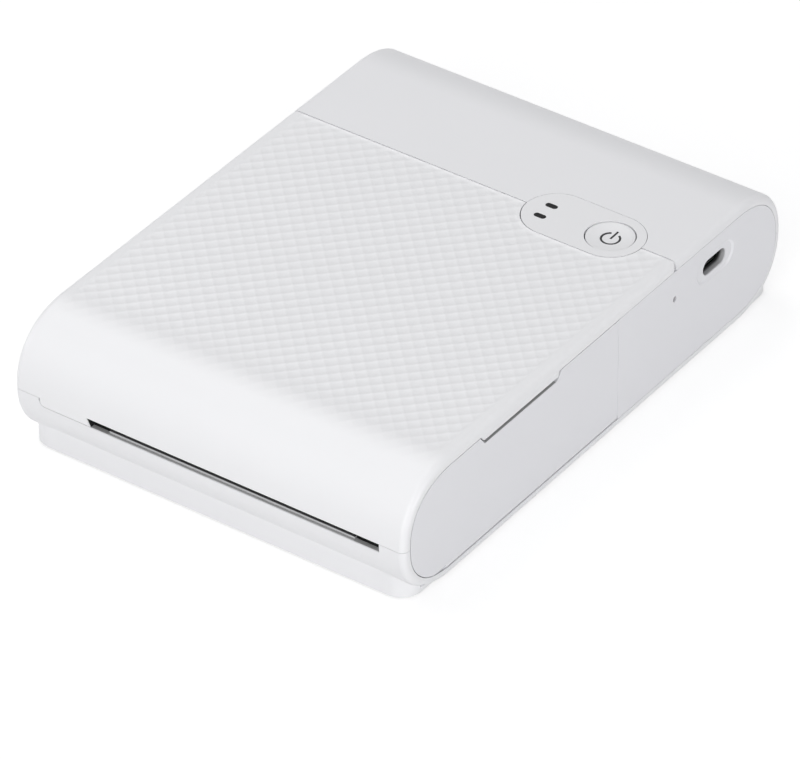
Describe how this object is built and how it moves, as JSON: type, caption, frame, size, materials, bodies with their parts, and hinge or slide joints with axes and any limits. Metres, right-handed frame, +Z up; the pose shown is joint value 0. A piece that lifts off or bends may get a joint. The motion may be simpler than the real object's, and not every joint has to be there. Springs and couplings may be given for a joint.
{
  "type": "compact photo printer",
  "caption": "Flat pebble-edged photo printer: textured rear-hinged top cover, front print slot, side cassette door, thermal transfer mechanism inside.",
  "frame": {"origin": "bottom centre of the printer on its feet", "axes": "+X to the right seen from the front, +Y to the rear so the print slot faces -Y, +Z up"},
  "size_m": [0.1022, 0.1432, 0.031],
  "materials": {
    "white_housing": "satin",
    "white_cheek": "fine matt",
    "white_cover": "satin with a fine diamond pattern",
    "white_pod": "semi gloss",
    "zinc": "satin",
    "steel_pin": "turned",
    "spring_steel": "bright",
    "smoked_window": "gloss",
    "circuit_board": "solder mask",
    "black_plastic": "matt",
    "grey_rubber": "matt",
    "steel_screw": "zinc plated",
    "sheet_steel": "galvanised",
    "grey_plastic": "matt",
    "light_plastic": "satin",
    "black_rubber": "matt",
    "ground_steel": "knurled",
    "gear_plastic": "satin",
    "brass_gear": "satin",
    "motor_can": "plated",
    "head_ceramic": "smooth",
    "sink_aluminium": "extruded",
    "film_magenta": "film",
    "film_yellow": "film",
    "battery_wrap": "shrink wrap",
    "port_steel": "plated",
    "red_plastic": "satin"
  },
  "bodies": {
    "housing": {"bottom_shell": "white_housing", "rear_casing": "white_housing", "left_cheek": "white_cheek", "right_cheek": "white_cheek", "hinge_pins": "steel_pin", "control_pod": "white_pod", "indicator_windows": "smoked_window", "button_board": "circuit_board", "button_switch": "black_plastic", "rubber_feet": "grey_rubber", "case_screws": "steel_screw", "chassis_left": "sheet_steel", "chassis_right": "sheet_steel", "paper_tray": "grey_plastic", "path_plate": "black_plastic", "exit_guide": "light_plastic", "turn_guide": "black_plastic", "drive_motor": "motor_can", "cassette_frame": "grey_plastic", "ribbon_film": "film_magenta", "battery_pack": "battery_wrap", "main_board": "circuit_board", "board_parts": "black_plastic", "port_board": "circuit_board", "usb_socket": "port_steel", "reset_switch": "black_plastic"},
    "cover": {"top_cover": "white_cover", "cover_hinges": "zinc", "paper_spring": "spring_steel"},
    "door": {"cassette_door": "white_cheek", "door_pins": "steel_pin"},
    "button": {"power_button": "white_pod"},
    "reset": {"reset_plunger": "red_plastic"},
    "platen": {"platen_roller": "black_rubber", "platen_shaft": "steel_pin"},
    "grip": {"grip_roller": "ground_steel"},
    "pinch": {"pinch_roller": "black_rubber"},
    "pickup": {"pickup_roller": "gear_plastic", "pickup_tyres": "black_rubber"},
    "front_idler": {"idler_gear_front": "gear_plastic"},
    "rear_idler": {"idler_gear_rear": "gear_plastic"},
    "pinion": {"motor_pinion": "brass_gear"},
    "head": {"thermal_head": "head_ceramic", "head_heatsink": "sink_aluminium", "head_carrier": "sheet_steel"},
    "takeup": {"takeup_spool": "light_plastic", "takeup_gear": "gear_plastic", "ribbon_roll_takeup": "film_magenta"},
    "supply": {"supply_spool": "light_plastic", "ribbon_roll_supply": "film_yellow"}
  },
  "joints": [
    {"name": "cover_hinge", "type": "hinge", "parent": "housing", "child": "cover", "pos_m": [0, 0.0392, 0.0268], "axis": [-1, 0, 0], "range_deg": [0, 70]},
    {"name": "door_hinge", "type": "hinge", "parent": "housing", "child": "door", "pos_m": [0.0506, 0, 0.0029], "axis": [0, 1, 0], "range_deg": [0, 90]},
    {"name": "button_press", "type": "slide", "parent": "housing", "child": "button", "axis": [0, 0, -1], "range_m": [0, 0.0005], "stiffness_N_per_m": 400},
    {"name": "reset_press", "type": "slide", "parent": "housing", "child": "reset", "axis": [-1, 0, 0], "range_m": [0, 0.00025], "stiffness_N_per_m": 400},
    {"name": "head_lift", "type": "slide", "parent": "housing", "child": "head", "axis": [0, 0, 1], "range_m": [0, 0.0011]},
    {"name": "platen_spin", "type": "hinge", "parent": "housing", "child": "platen", "pos_m": [0, -0.026, 0.00944], "axis": [1, 0, 0], "continuous": true},
    {"name": "grip_spin", "type": "hinge", "parent": "housing", "child": "grip", "pos_m": [0, -0.046, 0.01035], "axis": [1, 0, 0], "continuous": true},
    {"name": "pinch_spin", "type": "hinge", "parent": "housing", "child": "pinch", "pos_m": [0, -0.046, 0.01545], "axis": [1, 0, 0], "continuous": true},
    {"name": "pickup_spin", "type": "hinge", "parent": "housing", "child": "pickup", "pos_m": [0, -0.052, 0.01933], "axis": [1, 0, 0], "continuous": true},
    {"name": "front_idler_spin", "type": "hinge", "parent": "housing", "child": "front_idler", "pos_m": [0, -0.03649, 0.00903], "axis": [1, 0, 0], "continuous": true},
    {"name": "rear_idler_spin", "type": "hinge", "parent": "housing", "child": "rear_idler", "pos_m": [0, -0.0121, 0.0132], "axis": [1, 0, 0], "continuous": true},
    {"name": "pinion_spin", "type": "hinge", "parent": "housing", "child": "pinion", "pos_m": [0, 0.0003, 0.01544], "axis": [1, 0, 0], "continuous": true},
    {"name": "takeup_spin", "type": "hinge", "parent": "housing", "child": "takeup", "pos_m": [0, -0.0372, 0.0175], "axis": [1, 0, 0], "continuous": true},
    {"name": "supply_spin", "type": "hinge", "parent": "housing", "child": "supply", "pos_m": [0, -0.0145, 0.0176], "axis": [1, 0, 0], "continuous": true}
  ],
  "couplings": [
    {"joint": "grip_spin", "follows": "platen_spin", "ratio": 1.2},
    {"joint": "pinch_spin", "follows": "platen_spin", "ratio": -1.68},
    {"joint": "pickup_spin", "follows": "platen_spin", "ratio": -0.85714},
    {"joint": "front_idler_spin", "follows": "platen_spin", "ratio": -1.0588},
    {"joint": "rear_idler_spin", "follows": "platen_spin", "ratio": -0.6},
    {"joint": "pinion_spin", "follows": "platen_spin", "ratio": 1.5},
    {"joint": "takeup_spin", "follows": "platen_spin", "ratio": -0.64286},
    {"joint": "supply_spin", "follows": "platen_spin", "ratio": -0.48825}
  ]
}
